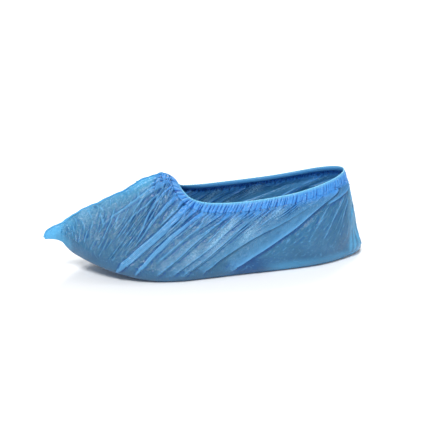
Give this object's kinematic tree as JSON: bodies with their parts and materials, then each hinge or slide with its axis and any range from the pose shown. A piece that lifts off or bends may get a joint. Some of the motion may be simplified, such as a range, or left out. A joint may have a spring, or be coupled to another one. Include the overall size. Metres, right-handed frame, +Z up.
{
  "type": "disposable shoe cover",
  "caption": "Thin plastic film bag that slips over a shoe, with welded toe and heel seams and a gathered elastic mouth.",
  "frame": {"origin": "on the inner face of the sole, on the middle line, where the shoe stands", "axes": "+X from the toe to the heel, +Y to the side, +Z up out of the mouth"},
  "size_m": [0.3409, 0.113, 0.0981],
  "materials": {
    "film": "thin translucent blue film with a fine embossed crinkle",
    "gathered_film": "gathered doubled blue film",
    "elastic": "light blue covered elastic",
    "weld": "heat-welded doubled film edge"
  },
  "bodies": {
    "root": {"film_bag": "film", "gathered_hem": "gathered_film", "elastic_strand": "elastic", "toe_weld": "weld", "heel_weld": "weld"}
  },
  "joints": []
}
